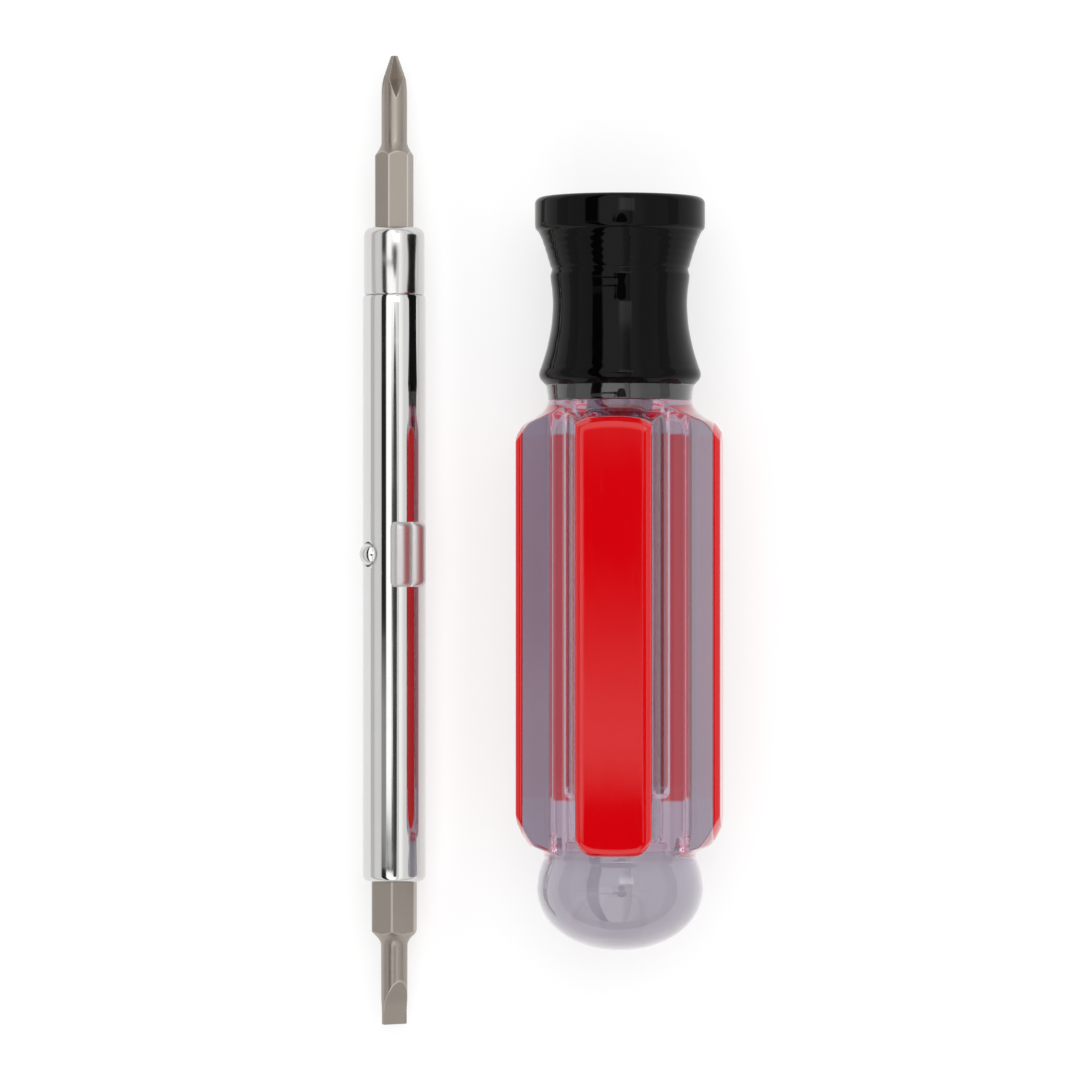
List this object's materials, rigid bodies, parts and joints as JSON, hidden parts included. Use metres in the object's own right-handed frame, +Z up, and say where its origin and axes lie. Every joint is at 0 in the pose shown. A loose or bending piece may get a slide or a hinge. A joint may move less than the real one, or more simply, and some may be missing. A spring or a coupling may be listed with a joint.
{
  "type": "multi-bit screwdriver",
  "caption": "Multi-bit screwdriver, taken apart: a clear fluted handle with red caps and a black collar, and its reversible chrome shaft with a double-ended bit in each end.",
  "frame": {"origin": "middle of the box that handle and shaft fill side by side, on the table that they lie on", "axes": "+Y along both axes, towards the handle's mouth and the cross-point bit; +Z up; the shaft lies at -X"},
  "size_m": [0.0676, 0.18, 0.0373],
  "materials": {
    "clear_plastic": "clear, faintly lilac, polished",
    "black_plastic": "deep gloss black",
    "red_plastic": "gloss red",
    "chrome": "bright plated",
    "satin_steel": "satin, warm grey",
    "spring_steel": "drawn spring wire"
  },
  "bodies": {
    "handle": {"handle_body": "clear_plastic", "collar": "black_plastic", "cap_front": "red_plastic", "cap_right": "red_plastic", "cap_back": "red_plastic", "cap_left": "red_plastic"},
    "shaft": {"shaft_tube": "chrome", "nose_bush": "chrome", "centre_plug": "satin_steel", "drive_key": "chrome", "detent_spring": "spring_steel", "upper_clip": "spring_steel", "lower_clip": "spring_steel"},
    "upper_bit": {"upper_bit": "satin_steel"},
    "lower_bit": {"lower_bit": "satin_steel"},
    "detent_ball": {"detent_ball": "chrome"}
  },
  "joints": [
    {"name": "shaft_draw", "type": "slide", "parent": "handle", "child": "shaft", "axis": [0, 1, 0], "range_m": [0, 0.155]},
    {"name": "upper_bit_pull", "type": "slide", "parent": "shaft", "child": "upper_bit", "axis": [0, 1, 0], "range_m": [0, 0.0325]},
    {"name": "lower_bit_pull", "type": "slide", "parent": "shaft", "child": "lower_bit", "axis": [0, -1, 0], "range_m": [0, 0.0335]},
    {"name": "ball_press", "type": "slide", "parent": "shaft", "child": "detent_ball", "axis": [0.809, 0, -0.5878], "range_m": [0, 0.0012], "stiffness_N_per_m": 800, "deforming": ["detent_spring"]}
  ]
}
